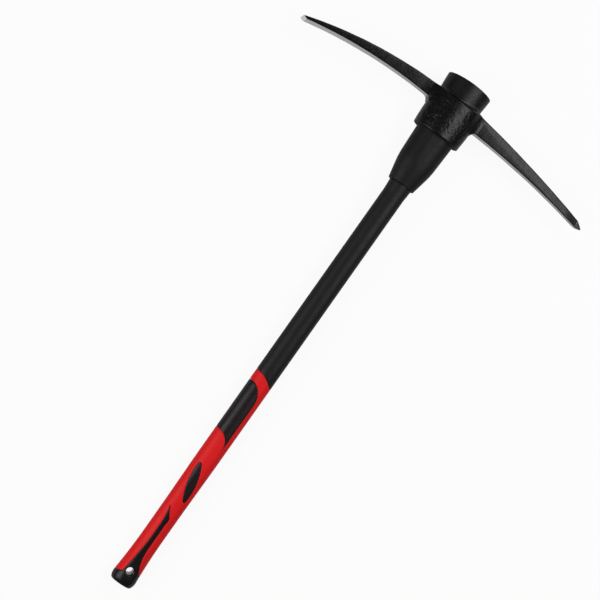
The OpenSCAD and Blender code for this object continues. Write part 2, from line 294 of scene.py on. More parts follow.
def round_max(a, b, radius):
    """Where both distances are inside, with the edge between them rounded."""
    return np.minimum(np.maximum(a, b), -radius) + np.hypot(
        np.maximum(a + radius, 0), np.maximum(b + radius, 0)
    )


def round_min(a, b, radius):
    """Where either distance is inside, with a fillet in the corner between them."""
    return np.maximum(np.minimum(a, b), radius) - np.hypot(
        np.maximum(radius - a, 0), np.maximum(radius - b, 0)
    )


def oval_distance(x, z, half_width, aspect):
    """Distance from an oval whose depth is a share of its width."""
    reach = np.hypot(x, z / aspect)
    slope = np.hypot(x, z / aspect**2) / np.maximum(reach, 0.01)
    return (reach - half_width) / np.maximum(slope, 0.5)


def over_arc(x, y, start, end, radius):
    """Distance above an arc of a radius that runs from start to end, towards +x, and bulges up."""
    along, rise = end[0] - start[0], end[1] - start[1]
    half = math.hypot(along, rise) / 2
    drop = math.sqrt(radius**2 - half**2) / (2 * half)
    centre_x = (start[0] + end[0]) / 2 + rise * drop
    centre_y = (start[1] + end[1]) / 2 - along * drop
    return np.hypot(x - centre_x, y - centre_y) - radius


def over_line(x, y, start, end):
    """Distance above a line that runs towards +x."""
    along, rise = end[0] - start[0], end[1] - start[1]
    return ((y - start[1]) * along - (x - start[0]) * rise) / math.hypot(along, rise)


def quarter_round(short, radius):
    """Rise of a fillet of a radius at a distance short of its end."""
    gone = np.clip(short, 0, radius * 0.97)
    return radius - np.sqrt(radius**2 - gone**2)


def flared(side, x, z):
    """An arm's side, flared into a core that lies just inside the eye's body."""
    core = oval_distance(x, z, BODY_RADIUS - ROOT_ROUND, EYE_ASPECT)
    return round_min(core, side, ROOT_FLARE)


def crown_drop(top, under):
    """How far an arm's face falls away towards its upper and its lower edge."""
    share = (top - under) / np.maximum(-(top + under), ARM_EDGE)
    return FACE_CROWN * np.clip(share, -1, 1) ** 2


def root_drop(x):
    """How far an arm's underside drops in its fillet to the eye's body."""
    return quarter_round(BODY_RADIUS + ROOT_FILLET - x, ROOT_FILLET)


def chisel_distance(x, y, z):
    """The chisel arm, drawn towards +x."""
    root, edge = (BODY_RADIUS, SHOULDER), (REACH, SHOULDER - CHISEL_FALL)
    root_under, edge_under = (BODY_RADIUS, SHOULDER - CHISEL_ROOT), (REACH, edge[1] - CHISEL_END)
    top = over_arc(x, y, root, edge, CHISEL_TOP_RADIUS)
    under = -over_arc(x, y + root_drop(x), root_under, edge_under, CHISEL_UNDER_RADIUS)
    bevel = -over_line(x, y, (REACH - BEVEL_LENGTH, edge_under[1]), (REACH, edge[1] - BEVEL_LIP))
    half = np.interp(x, (PLAIN_SIDE, REACH - BEVEL_LENGTH), (ARM_HALF, CHISEL_HALF))
    sides = np.abs(z) - half + crown_drop(top, under)
    arm = round_max(round_max(top, under, SPINE_EDGE), bevel, GROUND_EDGE)
    arm = round_max(arm, flared(sides, x, z), ARM_EDGE)
    return round_max(arm, np.maximum(x - REACH, ARM_START - x), GROUND_EDGE)


def point_distance(x, y, z):
    """The point arm, with its leaning upper facets and its ground tip."""
    root, end = (BODY_RADIUS, SHOULDER), (REACH, SHOULDER - POINT_FALL)
    root_under, end_under = (BODY_RADIUS, SHOULDER - POINT_ROOT), (REACH, end[1] - POINT_END)
    grind, middle = REACH - TIP_LENGTH, end[1] - POINT_END / 2
    top = over_arc(x, y, root, end, POINT_TOP_RADIUS)
    under = -over_arc(x, y + root_drop(x), root_under, end_under, POINT_UNDER_RADIUS)
    tip_top = over_line(x, y, (grind, end[1] + POINT_END / 2), (REACH, middle + TIP_HALF))
    tip_under = -over_line(x, y, (grind, end_under[1]), (REACH, middle - TIP_HALF))
    halves = (ARM_HALF, POINT_HALF, TIP_HALF)
    half = np.interp(x, (PLAIN_SIDE, grind, REACH), halves)
    sides = np.abs(z) - half + crown_drop(top, under)
    facet = (
        (x - BODY_RADIUS) * math.cos(FACET_LEAN) * math.sin(FACET_TAPER)
        + (y - SHOULDER + FACET_START) * math.sin(FACET_LEAN)
        + (np.abs(z) - ARM_HALF) * math.cos(FACET_LEAN) * math.cos(FACET_TAPER)
    )
    upper = round_max(top, tip_top, SPINE_EDGE)
    lower = round_max(under, tip_under, SPINE_EDGE)
    arm = round_max(upper, lower, SPINE_EDGE)
    arm = round_max(arm, flared(round_max(sides, facet, FACET_EDGE), x, z), ARM_EDGE)
    return round_max(arm, np.maximum(x - REACH, ARM_START - x), FACET_EDGE)


def eye_distance(x, y, z):
    """The eye's oval body with its ledge and its upper tube, before it is bored."""
    swell = np.sin(np.clip((y - RIM) / (SWELL - RIM), 0, 1) * math.pi / 2)
    body = oval_distance(x, z, RIM_RADIUS + BODY_SWELL * swell, EYE_ASPECT)
    ledge = SHOULDER - LEDGE_DIP * (1 - np.clip(x / BODY_RADIUS, -1, 1) ** 2)
    rise = np.clip((y - SHOULDER) / (LENGTH - SHOULDER), 0, 1)
    foot = BODY_RADIUS - LEDGE
    tube = oval_distance(x, z, foot + (TUBE_RIM - foot) * rise, EYE_ASPECT)
    crown = RIM_CROWN * (x / RIM_RADIUS) ** 2
    eye = round_min(round_max(body, y - ledge, LEDGE_ROUND), tube, LEDGE_FILLET)
    eye = round_max(eye, y - LENGTH + crown, RIM_ROUND)
    return round_max(eye, RIM + crown - y, RIM_ROUND)


def head_distance(x, y, z):
    """The whole head."""
    bore_half = EYE_LOW + (EYE_HIGH - EYE_LOW) * (y - RIM) / (LENGTH - RIM)
    head = round_min(eye_distance(x, y, z), chisel_distance(-x, y, z), ROOT_ROUND)
    head = round_min(head, point_distance(x, y, z), ROOT_ROUND)
    return round_max(head, -oval_distance(x, z, bore_half, EYE_ASPECT), BORE_ROUND)


def head_slope(points):
    """Distance at points and its slope along each axis."""
    step = 0.05
    slope = np.empty_like(points)
    for k in range(3):
        shift = np.zeros(3)
        shift[k] = step
        ahead, behind = head_distance(*(points + shift).T), head_distance(*(points - shift).T)
        slope[:, k] = (ahead - behind) / (2 * step)
    return head_distance(*points.T), slope


def stepped(stops, steps):
    """Places along an axis, with a step of its own between each pair of stops."""
    runs = [
        np.linspace(a, b, max(2, round((b - a) / step)), endpoint=False)
        for a, b, step in zip(stops, stops[1:], steps)
    ]
    return np.concatenate(runs + [stops[-1:]])


def head_surface():
    """Points and faces of the head, drawn on to its true surface."""
    margin, band = 2.0, 3.0
    eye, tips = PLAIN_SIDE, REACH - TIP_LENGTH - margin
    ends = REACH + margin
    deep = HEAD_HIGH[2] + margin
    at_tips, on_arms, on_eye, up_eye, through_eye = 0.5, 1.7, 0.93, 0.88, 0.83
    axes = (
        stepped(
            (-ends, -tips, -eye, eye, tips, ends), (at_tips, on_arms, on_eye, on_arms, at_tips)
        ),
        stepped((RIM - margin, LENGTH + margin), (up_eye,)),
        stepped((-deep, deep), (through_eye,)),
    )
    field = head_distance(axes[0][:, None, None], axes[1][None, :, None], axes[2][None, None, :])
    grid = openvdb.FloatGrid(band)
    grid.copyFromArray(np.clip(field, -band, band).astype(np.float32))
    cells, _, quads = grid.convertToPolygons(isovalue=0.0, adaptivity=0.0)
    points = np.stack(
        [np.interp(cells[:, k], np.arange(len(axis)), axis) for k, axis in enumerate(axes)], axis=1
    )
    rounds, furthest = 4, 0.5
    for _ in range(rounds):
        away, slope = head_slope(points)
        size = np.maximum((slope**2).sum(axis=1), 0.05)
        points += np.clip(-slope * (away / size)[:, None], -furthest, furthest)
    return points, quads


def forged_relief(points):
    """How far the forging's skin stands out: hammered all over, with pebbles on the eye's body."""
    x, y, _ = points.T
    unground = ramp(REACH - np.abs(x), 16, 40)
    marks = HAMMER_HEIGHT * lumps(points, HAMMER_SIZE, 3)
    dents = DENT_HEIGHT * lumps(points, DENT_SIZE, 4)
    on_body = (
        ramp(y, RIM + 4, RIM + 10)
        * ramp(SHOULDER - y, 7, 13)
        * ramp(BODY_RADIUS + 8 - np.abs(x), 0, 10)
    )
    pebbles = PEBBLE_HEIGHT * (0.5 - np.abs(lumps(points, PEBBLE_SIZE, 5)))
    grain = GRAIN_HEIGHT * lumps(points, GRAIN_SIZE, 6)
    return unground * (marks + dents) + on_body * (pebbles + grain)


def pick_head(material):
    """The forged head, with marks for the arms' undersides and the eye's lower rim."""
    points, quads = head_surface()
    _, slope = head_slope(points)
    outward = slope / np.linalg.norm(slope, axis=1, keepdims=True)
    on_arm = ramp(np.abs(points[:, 0]), BODY_RADIUS - 4, BODY_RADIUS + 2)
    downward = ramp(-outward[:, 1], 0.75, 0.92)
    points = points + outward * forged_relief(points)[:, None]
    marks = {"underside": on_arm * downward, "rim": (1 - on_arm) * downward}
    return piece("pick_head_forged", points, quads, material, smooth_angle=75.0, **marks)


# Handle

class Wiring:
    """Short words for adding nodes to a tree and linking them."""

    def __init__(self, tree):
        self.tree = tree

    def node(self, kind, **settings):
        made = self.tree.nodes.new(kind)
        for key, value in settings.items():
            setattr(made, key, value)
        return made

    def feed(self, socket, value):
        if isinstance(value, bpy.types.NodeSocket):
            self.tree.links.new(value, socket)
        else:
            socket.default_value = value

    def math(self, operation, *values):
        made = self.node("ShaderNodeMath", operation=operation)
        for socket, value in zip(made.inputs, values):
            self.feed(socket, value)
        return made.outputs[0]


def geometry_tree(name, sizes):
    """A Geometry Nodes tree with a named number input for each size."""
    tree = bpy.data.node_groups.new(name, "GeometryNodeTree")
    tree.interface.new_socket("Geometry", in_out="OUTPUT", socket_type="NodeSocketGeometry")
    for label, size in sizes.items():
        kind = "NodeSocketInt" if isinstance(size, int) else "NodeSocketFloat"
        tree.interface.new_socket(label, in_out="INPUT", socket_type=kind)
    return tree, tree.nodes.new("NodeGroupInput"), tree.nodes.new("NodeGroupOutput")


def grown(name, tree, sizes):
    """The plain mesh that a Geometry Nodes tree makes with given sizes."""
    seed = bpy.data.objects.new(name + "_seed", bpy.data.meshes.new(name + "_seed"))
    bpy.context.scene.collection.objects.link(seed)
    modifier = seed.modifiers.new(name, "NODES")
    modifier.node_group = tree
    for item in tree.interface.items_tree:
        if item.in_out == "INPUT":
            modifier[item.identifier] = sizes[item.name]
    depsgraph = bpy.context.evaluated_depsgraph_get()
    mesh = bpy.data.meshes.new_from_object(seed.evaluated_get(depsgraph))
    seed.modifiers.remove(modifier)
    bpy.data.objects.remove(seed)
    return mesh


def oval_tube(wire, take, start, end, rings):
    """Nodes for an open oval tube between two sections (width, depth, height, share of the slant)."""
    tube = wire.node("GeometryNodeMeshCylinder", fill_type="NONE")
    wire.feed(tube.inputs["Vertices"], take["Sides"])
    wire.feed(tube.inputs["Side Segments"], rings)
    tube.inputs["Radius"].default_value = 0.5
    tube.inputs["Depth"].default_value = 1.0
    axes = wire.node("ShaderNodeSeparateXYZ")
    wire.feed(axes.inputs[0], wire.node("GeometryNodeInputPosition").outputs[0])
    across, out, along = axes.outputs
    rise = wire.math("ADD", along, 0.5)
    width, depth, height, slant = (
        wire.math("MULTIPLY_ADD", rise, wire.math("SUBTRACT", high, low), low)
        for low, high in zip(start, end)
    )
    x = wire.math("MULTIPLY", across, width)
    # The foot's edge falls across the face as a quarter of a cosine
    share = wire.math("DIVIDE", x, take["Width"])
    turn = wire.math("MULTIPLY_ADD", share, math.pi / 2, math.pi / 4)
    fall = wire.math("MULTIPLY", wire.math("SUBTRACT", wire.math("COSINE", turn), 1.0), slant)
    spot = wire.node("ShaderNodeCombineXYZ")
    wire.feed(spot.inputs[0], x)
    wire.feed(spot.inputs[1], wire.math("MULTIPLY_ADD", fall, take["Foot slant"], height))
    deep = wire.math("MULTIPLY", out, depth)
    wire.feed(spot.inputs[2], wire.math("SUBTRACT", take["Axis height"], deep))
    move = wire.node("GeometryNodeSetPosition")
    wire.feed(move.inputs["Geometry"], tube.outputs["Mesh"])
    wire.feed(move.inputs["Position"], spot.outputs[0])
    return move.outputs[0]


def shaft_jacket(material):
    """The shaft: an oval shell round the rod, necked under the grip, with a seat for the sleeve."""
    bore_half = ROD_HIGH[0] + BOND
    sizes = {
        "Width": 2 * SHAFT_HALF * MM,
        "Depth": 2 * SHAFT_HALF * SHAFT_ASPECT * MM,
        "Core width": 2 * CORE_HALF * MM,
        "Core depth": 2 * CORE_HALF * SHAFT_ASPECT * MM,
        "Bore width": 2 * bore_half * MM,
        "Bore depth": 2 * bore_half * SHAFT_ASPECT * MM,
        "Low": (JACKET_LOW[1] - LENGTH / 2) * MM,
        "High": (JACKET_HIGH[1] - LENGTH / 2) * MM,
        "Foot": (GRIP_TOP - LENGTH / 2 + SEAM) * MM,
        "Foot slant": GRIP_SLANT * MM,
        "Taper": (SLEEVE_LOW[1] - LENGTH / 2 - SEAT_LENGTH) * MM,
        "Seat": (SLEEVE_LOW[1] - LENGTH / 2 - BOND) * MM,
        "Seat width": 2 * (SHAFT_HALF + SEAT_RISE) * MM,
        "Seat depth": 2 * (SHAFT_HALF + SEAT_RISE) * SHAFT_ASPECT * MM,
        "Axis height": AXIS_HEIGHT * MM,
        "Sides": 128,
    }
    tree, given, out = geometry_tree("oval_shaft", sizes)
    wire = Wiring(tree)
    take = given.outputs
    shaft, core = (take["Width"], take["Depth"]), (take["Core width"], take["Core depth"])
    bore, seat = (take["Bore width"], take["Bore depth"]), (take["Seat width"], take["Seat depth"])
    # Sections round the shell, from the bore's lower end, each with the rings of the tube after it
    sections = [
        (1, (*bore, take["Low"], 0.0)),
        (24, (*core, take["Low"], 0.0)),
        (1, (*core, take["Foot"], 1.0)),
        (60, (*shaft, take["Foot"], 1.0)),
        (6, (*shaft, take["Taper"], 0.0)),
        (1, (*seat, take["Seat"], 0.0)),
        (24, (*shaft, take["Seat"], 0.0)),
        (1, (*shaft, take["High"], 0.0)),
        (60, (*bore, take["High"], 0.0)),
    ]
    tubes = wire.node("GeometryNodeJoinGeometry")
    for (rings, start), (_, end) in zip(sections, sections[1:] + sections[:1]):
        wire.feed(tubes.inputs[0], oval_tube(wire, take, start, end, rings))
    weld = wire.node("GeometryNodeMergeByDistance")
    weld.inputs["Distance"].default_value = 0.002 * MM
    real = wire.node("GeometryNodeRealizeInstances")
    paint = wire.node("GeometryNodeSetMaterial")
    paint.inputs["Material"].default_value = material
    wire.feed(weld.inputs["Geometry"], tubes.outputs[0])
    wire.feed(real.inputs[0], weld.outputs[0])
    wire.feed(paint.inputs["Geometry"], real.outputs[0])
    wire.feed(out.inputs[0], paint.outputs[0])
    mesh = grown("oval_shaft", tree, sizes)
    roll_edges(mesh)
    return finished("shaft_jacket_moulded", mesh, material, smooth_angle=50.0)


def roll_edges(mesh):
    """Rounds a shell's sharp outer edges, so that the shaft's foot meets the grip in a fine groove."""
    work = bmesh.new()
    work.from_mesh(mesh)
    least = math.radians(50)
    sharp = [edge for edge in work.edges if edge.calc_face_angle_signed(0) > least]
    bmesh.ops.bevel(
        work, geom=sharp, offset=SEAM_ROLL * MM, segments=3, profile=0.5, affect="EDGES"
    )
    work.to_mesh(mesh)
    work.free()


def neck_profile():
    """Half widths and heights of the sleeve's outside, from its lower edge to its spigot's top."""
    low, high = SLEEVE_LOW[1], SLEEVE_HIGH[1]
    knee = np.array([NECK_KNEE_HALF, low + NECK_KNEE])
    foot = np.array([NECK_LOW_HALF, low])
    brim = np.array([NECK_HIGH_HALF, RIM])
    round_low = knee + (foot - knee) * NECK_ROUND / 2 / NECK_KNEE
    round_high = knee + (brim - knee) * NECK_ROUND / 2 / (RIM - low - NECK_KNEE)
    turns = np.linspace(0, math.pi / 2, 6)
    edge = foot + NECK_EDGE * np.stack([np.sin(turns) - 1, 1 - np.cos(turns)], axis=1)
    share = np.linspace(0, 1, 14)[1:, None]
    taper = edge[-1] + (round_low - edge[-1]) * share
    bend = (1 - share) ** 2 * round_low + 2 * share * (1 - share) * knee + share**2 * round_high
    upper = round_high + (brim - round_high) * np.linspace(0, 1, 24)[1:, None]
    return np.concatenate([edge, taper, bend, upper, [(NECK_HIGH_HALF, high)]])


def neck_sleeve(material):
    """The stepped plastic sleeve under the head, with a flat on each face that ends in an arch."""
    sides = 160
    outer = neck_profile()
    bore = SHAFT_HALF + BOND
    profile = [(wide, wide * EYE_ASPECT, height) for wide, height in outer]
    profile += [(bore, bore * SHAFT_ASPECT, height) for height in (SLEEVE_HIGH[1], SLEEVE_LOW[1])]
    points, faces = oval_rings(profile, sides)
    _, y, z = points[: len(outer) * sides].T
    knee = SLEEVE_LOW[1] + NECK_KNEE
    flat = np.interp(y, (knee, RIM), (NECK_FLAT_LOW, NECK_FLAT_HIGH))
    under = flat - np.abs(z)
    under = (under + np.hypot(under, NECK_FLAT_EDGE)) / 2
    points[: len(outer) * sides, 2] = np.sign(z) * (flat - under)
    return piece("neck_sleeve_moulded", points, faces, material)


def eye_resin(material):
    """The resin round the rod's end: its top creeps up the eye's wall and the rod."""
    low, high = RESIN_LOW[1], RESIN_HIGH[1]
    wall = np.array([RESIN_HIGH[0], RESIN_HIGH[2]])
    rod = np.array([ROD_HIGH[0], ROD_HIGH[2]]) + BOND
    profile = [(*(wall - RESIN_DRAFT), low), (*wall, high - RESIN_EDGE)]
    steepness = 14
    for share in np.linspace(0, 1, 24):
        creep = RESIN_CREEP * math.exp(-steepness * min(share, 1 - share)) - RESIN_CREEP
        profile.append((*(wall + (rod - wall) * share), high + creep))
    profile.append((rod[0], rod[1], low))
    points, faces = oval_rings(profile, 120)
    on_top = ramp(points[:, 1], high - 2, high)
    points[:, 1] += RESIN_RIPPLE * on_top * (lumps(points, RESIN_RIPPLE_SIZE, 8) - 1)
    return piece("eye_resin_cast", points, faces, material)


# Grip: pieces cut from the handle's skin, unrolled to places (round the face, up the handle).
# The places run from the narrow side at +x, where they are 0, over the front to the one at -x.

OVAL_TURN = np.linspace(0, math.pi, 2001)
OVAL_STEP = SHAFT_HALF * np.hypot(np.sin(OVAL_TURN), SHAFT_ASPECT * np.cos(OVAL_TURN))
OVAL_ROUND = np.concatenate(
    [[0.0], np.cumsum((OVAL_STEP[1:] + OVAL_STEP[:-1]) / 2) * (OVAL_TURN[1] - OVAL_TURN[0])]
)
HALF_ROUND = OVAL_ROUND[-1]
FOLDS = (0.0, HALF_ROUND)


def skin_half(y):
    """Half width of the handle's skin at heights above the butt's widest place."""
    y = np.asarray(y, float)
    flare = np.clip((FLARE_HEIGHT - y) / (FLARE_HEIGHT - BUTT_HEIGHT), 0, 1)
    swell = np.clip((y - SWELL_START) / (SWELL_END - SWELL_START), 0, 1)
    return (
        WAIST_HALF
        + (BUTT_HALF - WAIST_HALF) * flare**2
        + (SHAFT_HALF - WAIST_HALF) * (1 - np.cos(math.pi * swell)) / 2
    )


def on_skin(flat, depth):
    """Points of the front face at a depth below the skin, from their unrolled places."""
    turn = np.interp(flat[:, 0], OVAL_ROUND, OVAL_TURN)
    half = skin_half(flat[:, 1])
    across, out = np.cos(turn), np.sin(turn)
    lean = np.hypot(across, out / SHAFT_ASPECT)
    x = half * across - depth * across / lean
    z = half * SHAFT_ASPECT * out - depth * out / SHAFT_ASPECT / lean
    on_fold = np.minimum(flat[:, 0], HALF_ROUND - flat[:, 0]) < 1e-6
    return np.stack([x, flat[:, 1], np.where(on_fold, 0.0, z)], axis=1)


def unrolled(outline):
    """Unrolled places of an outline that is drawn in the plane of the arms."""
    outline = np.asarray(outline, float)
    turn = np.arccos(np.clip(outline[:, 0] / skin_half(outline[:, 1]), -1, 1))
    return np.stack([np.interp(turn, OVAL_TURN, OVAL_ROUND), outline[:, 1]], axis=1)


def resampled(line, step):
    """A line of points with no gap longer than a step, its own points kept."""
    line = np.asarray(line, float)
    result = [line[:1]]
    for a, b in zip(line, line[1:]):
        count = max(1, math.ceil(np.linalg.norm(b - a) / step))
        result.append(a + (b - a) * np.linspace(0, 1, count + 1)[1:, None])
    return np.concatenate(result)


def fold_line(place, start, end, roll):
    """Places on the fold between two heights, close together where edges are rolled."""
    near = np.array(ROLL_SHARES) * roll
    way = 1 if end > start else -1
    span = abs(end - start)
    middle = np.linspace(near[-1], span - near[-1], max(2, round(span / 1.5)))
    steps = np.concatenate([near[:-1], middle, span - near[-2::-1]])
    return np.stack([np.full(len(steps), place), start + way * steps], axis=1)


def inside(places, loops):
    """Which places lie inside closed loops, by the even-odd rule."""
    hit = np.zeros(len(places), bool)
    for loop in loops:
        for a, b in zip(loop, np.roll(loop, -1, axis=0)):
            if a[1] != b[1]:
                crosses = (a[1] > places[:, 1]) != (b[1] > places[:, 1])
                where = a[0] + (places[:, 1] - a[1]) / (b[1] - a[1]) * (b[0] - a[0])
                hit ^= crosses & (places[:, 0] < where)
    return hit


def is_open(a, b, level):
    """Whether a stretch of a loop is no edge: the piece goes on past the fold or below a level."""
    on_fold = any(abs(a[0] - fold) + abs(b[0] - fold) < 1e-5 for fold in FOLDS)
    return on_fold or (level is not None and abs(a[1] - level) + abs(b[1] - level) < 1e-5)


def edge_distance(places, loop, level):
    """Distance of places from a loop's true edges."""
    nearest = np.full(len(places), 1e9)
    for a, b in zip(loop, np.roll(loop, -1, axis=0)):
        if not is_open(a, b, level):
            along = b - a
            share = np.clip(((places - a) @ along) / max(along @ along, 1e-12), 0, 1)
            gap = places - a - share[:, None] * along
            nearest = np.minimum(nearest, np.hypot(gap[:, 0], gap[:, 1]))
    return nearest


def hexagon_grid(low, high, spacing):
    """Places on a grid of even triangles over a rectangle."""
    rows = []
    for k, y in enumerate(np.arange(low[1], high[1], spacing * math.sqrt(3) / 2)):
        across = np.arange(low[0] + k % 2 * spacing / 2, high[0], spacing)
        rows.append(np.stack([across, np.full(len(across), y)], axis=1))
    return np.concatenate(rows)


def rolled_rows(loop, roll, loops, level):
    """Rows of places beside a loop, where its edge rolls down."""
    ahead = np.roll(loop, -1, axis=0) - np.roll(loop, 1, axis=0)
    aside = np.stack([-ahead[:, 1], ahead[:, 0]], axis=1)
    aside /= np.maximum(np.hypot(aside[:, 0], aside[:, 1]), 1e-9)[:, None]
    rows = []
    for share in ROLL_SHARES:
        for side in (1, -1):
            row = loop + aside * side * roll * share
            row = row[(row[:, 0] > 0.1) & (row[:, 0] < HALF_ROUND - 0.1)]
            row = row[inside(row, loops)]
            gaps = [edge_distance(row, other, level) for other in loops]
            rows.append(row[np.min(gaps, axis=0) > roll * share * 0.95])
    return np.concatenate(rows)


def skin_net(loops, rolls, spacing, level=None):
    """A net of triangles inside loops, with the depth of its places in the edges' rolls."""
    loops = [np.asarray(loop, float) for loop in loops]
    fixed = np.concatenate(loops)
    edges, first = [], 0
    for loop in loops:
        edges += [(first + k, first + (k + 1) % len(loop)) for k in range(len(loop))]
        first += len(loop)
    free = hexagon_grid(fixed.min(axis=0), fixed.max(axis=0), spacing)
    free = free[inside(free, loops)]
    free = free[np.minimum(free[:, 0], HALF_ROUND - free[:, 0]) > spacing * 0.4]
    for loop, roll in zip(loops, rolls):
        free = free[edge_distance(free, loop, level) > roll + spacing * 0.35]
    if level is not None:
        free = free[free[:, 1] > level + spacing * 0.4]
    rows = [rolled_rows(loop, roll, loops, level) for loop, roll in zip(loops, rolls)]
    places = [Vector(place) for place in np.concatenate([fixed, free] + rows)]
    flat, _, triangles, *_ = delaunay_2d_cdt(places, edges, [], 0, 1e-6)
    flat = np.array([tuple(place) for place in flat])
    triangles = np.array(triangles)
    triangles = triangles[inside(flat[triangles].mean(axis=1), loops)]
    depth = np.zeros(len(flat))
    for loop, roll in zip(loops, rolls):
        short = np.clip(roll - edge_distance(flat, loop, level), 0, roll)
        depth = np.maximum(depth, roll - np.sqrt(roll**2 - short**2))
    return flat, triangles, depth


def skin_half_shell(net, inner, level=None):
    """Points and faces of the front half of a piece: its outside, its inside and its rims."""
    flat, triangles, depth = net
    count = len(flat)
    outer = on_skin(flat, depth)
    points = np.concatenate([outer, inner(flat, outer)])
    faces = [tuple(corners) for corners in triangles]
    faces += [tuple(corners[::-1] + count) for corners in triangles]
    ways = {(t[k], t[(k + 1) % 3]) for t in triangles.tolist() for k in range(3)}
    for a, b in sorted(ways):
        if (b, a) not in ways and not is_open(flat[a], flat[b], level):
            faces.append((b, a, a + count, b + count))
    return points, faces


def both_halves(points, faces):
    """Joins the front half of a piece to its mirror, without the faces that lie between them."""
    shown = [face for face in faces if np.abs(points[list(face), 2]).max() > 1e-4]
    count = len(points)
    mirrored = [tuple(k + count for k in reversed(face)) for face in shown]
    return np.concatenate([points, points * (1, 1, -1)]), shown + mirrored


def wall_below(thickness):
    """The inner side of a skin of a thickness."""
    return lambda flat, outer: on_skin(flat, np.full(len(flat), thickness))


def top_edge():
    """The grip's top edge, from the short narrow side to the tall one."""
    x = SHAFT_HALF * np.cos(np.linspace(0, math.pi, 60))
    fall = 1 - np.cos(math.pi / 2 * (x + SHAFT_HALF) / (2 * SHAFT_HALF))
    return unrolled(np.stack([x, GRIP_TOP - GRIP_SLANT * fall], axis=1))


def panel_edge(grow):
    """The shoulder panel's edge, from its top on the tall narrow side round to its foot there."""
    high, low = PANEL_HIGH[1], PANEL_LOW[1]
    span = SHAFT_HALF + PANEL_SIDE + grow
    turn = np.linspace(0, math.pi / 2, 48)
    arch_x = -SHAFT_HALF + span * np.sin(turn)
    arch_y = high - PANEL_CURVE + (PANEL_CURVE + grow) * np.cos(turn)
    foot_x = PANEL_SIDE + grow - span * (1 - np.cos(turn))
    foot_y = low - grow + PANEL_RISE * np.sin(turn)
    arch, foot = np.stack([arch_x, arch_y], axis=1), np.stack([foot_x, foot_y], axis=1)
    return resampled(unrolled(resampled(np.concatenate([arch, foot]), 1.0)), 1.0)


def leaf_edge(grow):
    """A leaf's closed edge: two arcs with rounded ends."""
    end, bulge = LEAF_LENGTH / 2 - LEAF_ROUND, LEAF_WIDTH / 2 - LEAF_ROUND
    arc = (end**2 + bulge**2) / (2 * bulge)
    swing = math.asin(end / arc)
    outset = LEAF_ROUND + grow
    turn = np.linspace(-swing, swing, 60)
    tip = np.linspace(swing, math.pi - swing, 12)[1:-1]
    side_x = bulge - arc + (arc + outset) * np.cos(turn)
    side = np.stack([side_x, (arc + outset) * np.sin(turn)], axis=1)
    round_end = np.stack([outset * np.cos(tip), end + outset * np.sin(tip)], axis=1)
    shape = np.concatenate([side, round_end, -side, -round_end])
    c, s = math.cos(LEAF_LEAN), math.sin(LEAF_LEAN)
    return unrolled(shape @ np.array([[c, s], [-s, c]]) + (0, LEAF_HEIGHT))


def cap_edge(grow):
    """The butt cap's edge with its tongue, from the low narrow side to the high one."""
    share = np.linspace(1, 0, 40)
    start = (CAP_EDGE_LOW + HANG_HEIGHT) / 2
    left_x = -TONGUE_HALF - (BUTT_HALF / 2 - TONGUE_HALF) * share**LOW_TURN
    left = np.stack([left_x, TONGUE_FLARE - (TONGUE_FLARE - start) * share], axis=1)
    right_x = TONGUE_HALF + (BUTT_HALF - TONGUE_HALF) * share**HIGH_TURN
    right = np.stack([right_x, TONGUE_FLARE - (TONGUE_FLARE - CAP_EDGE_HIGH) * share], axis=1)
    # The tongue's end: a swollen shoulder on the right that runs out to a tip on the left
    end = np.array([
        (-TONGUE_HALF, TONGUE_SHOULDER - TONGUE_TIP / 4),
        (-TONGUE_HALF - TONGUE_TIP / 16, TONGUE_SHOULDER + TONGUE_TIP * 0.3),
        (-TONGUE_HALF - TONGUE_TIP / 5, TONGUE_SHOULDER + TONGUE_TIP),
        (-TONGUE_HALF + TONGUE_TIP / 10, TONGUE_SHOULDER + TONGUE_TIP * 0.45),
        (TONGUE_HALF + TONGUE_TIP / 50, TONGUE_SHOULDER + TONGUE_TIP * 0.07),
        (TONGUE_HALF + TONGUE_TIP / 30, TONGUE_SHOULDER - TONGUE_TIP * 0.07),
        (TONGUE_HALF, TONGUE_SHOULDER - TONGUE_TIP * 0.4),
    ])
    line = resampled(np.concatenate([[(-BUTT_HALF, CAP_EDGE_LOW)], left, end, right[::-1]]), 1.0)
    ahead = np.gradient(line, axis=0)
    aside = np.stack([-ahead[:, 1], ahead[:, 0]], axis=1)
    flat = unrolled(line + grow * aside / np.hypot(ahead[:, 0], ahead[:, 1])[:, None])
    flat[0, 0], flat[-1, 0] = HALF_ROUND, 0.0
    return flat


def hang_hole():
    """The hang hole's edge on the front face."""
    turn = np.linspace(0, 2 * math.pi, 72, endpoint=False)
    return unrolled(np.stack(
        [HANG_RADIUS * np.cos(turn), HANG_HEIGHT + HANG_RADIUS * np.sin(turn)], axis=1
    ))


def grip_sleeve(material):
    """The red skin, with windows for the black pieces."""
    top, panel, cap = top_edge(), panel_edge(SEAM), cap_edge(SEAM)
    outline = np.concatenate([
        top,
        fold_line(HALF_ROUND, top[-1, 1], panel[0, 1], SKIN_ROLL),
        panel,
        fold_line(HALF_ROUND, panel[-1, 1], cap[0, 1], SKIN_ROLL),
        cap,
        fold_line(0.0, cap[-1, 1], top[0, 1], SKIN_ROLL),
    ])
    net = skin_net([outline, leaf_edge(SEAM)], [SKIN_ROLL, SKIN_ROLL], 2.2)
    points, faces = both_halves(*skin_half_shell(net, wall_below(GRIP_WALL)))
    return piece("grip_sleeve_red", points, faces, material, smooth_angle=55.0)


def shoulder_panel(material):
    """The black panel that wraps the tall narrow side."""
    panel = panel_edge(0.0)
    side = fold_line(HALF_ROUND, panel[-1, 1], panel[0, 1], INLAY_ROLL)
    net = skin_net([np.concatenate([panel, side])], [INLAY_ROLL], 2.0)
    points, faces = both_halves(*skin_half_shell(net, wall_below(INLAY_WALL)))
    return piece("shoulder_panel_black", points, faces, material, smooth_angle=55.0)


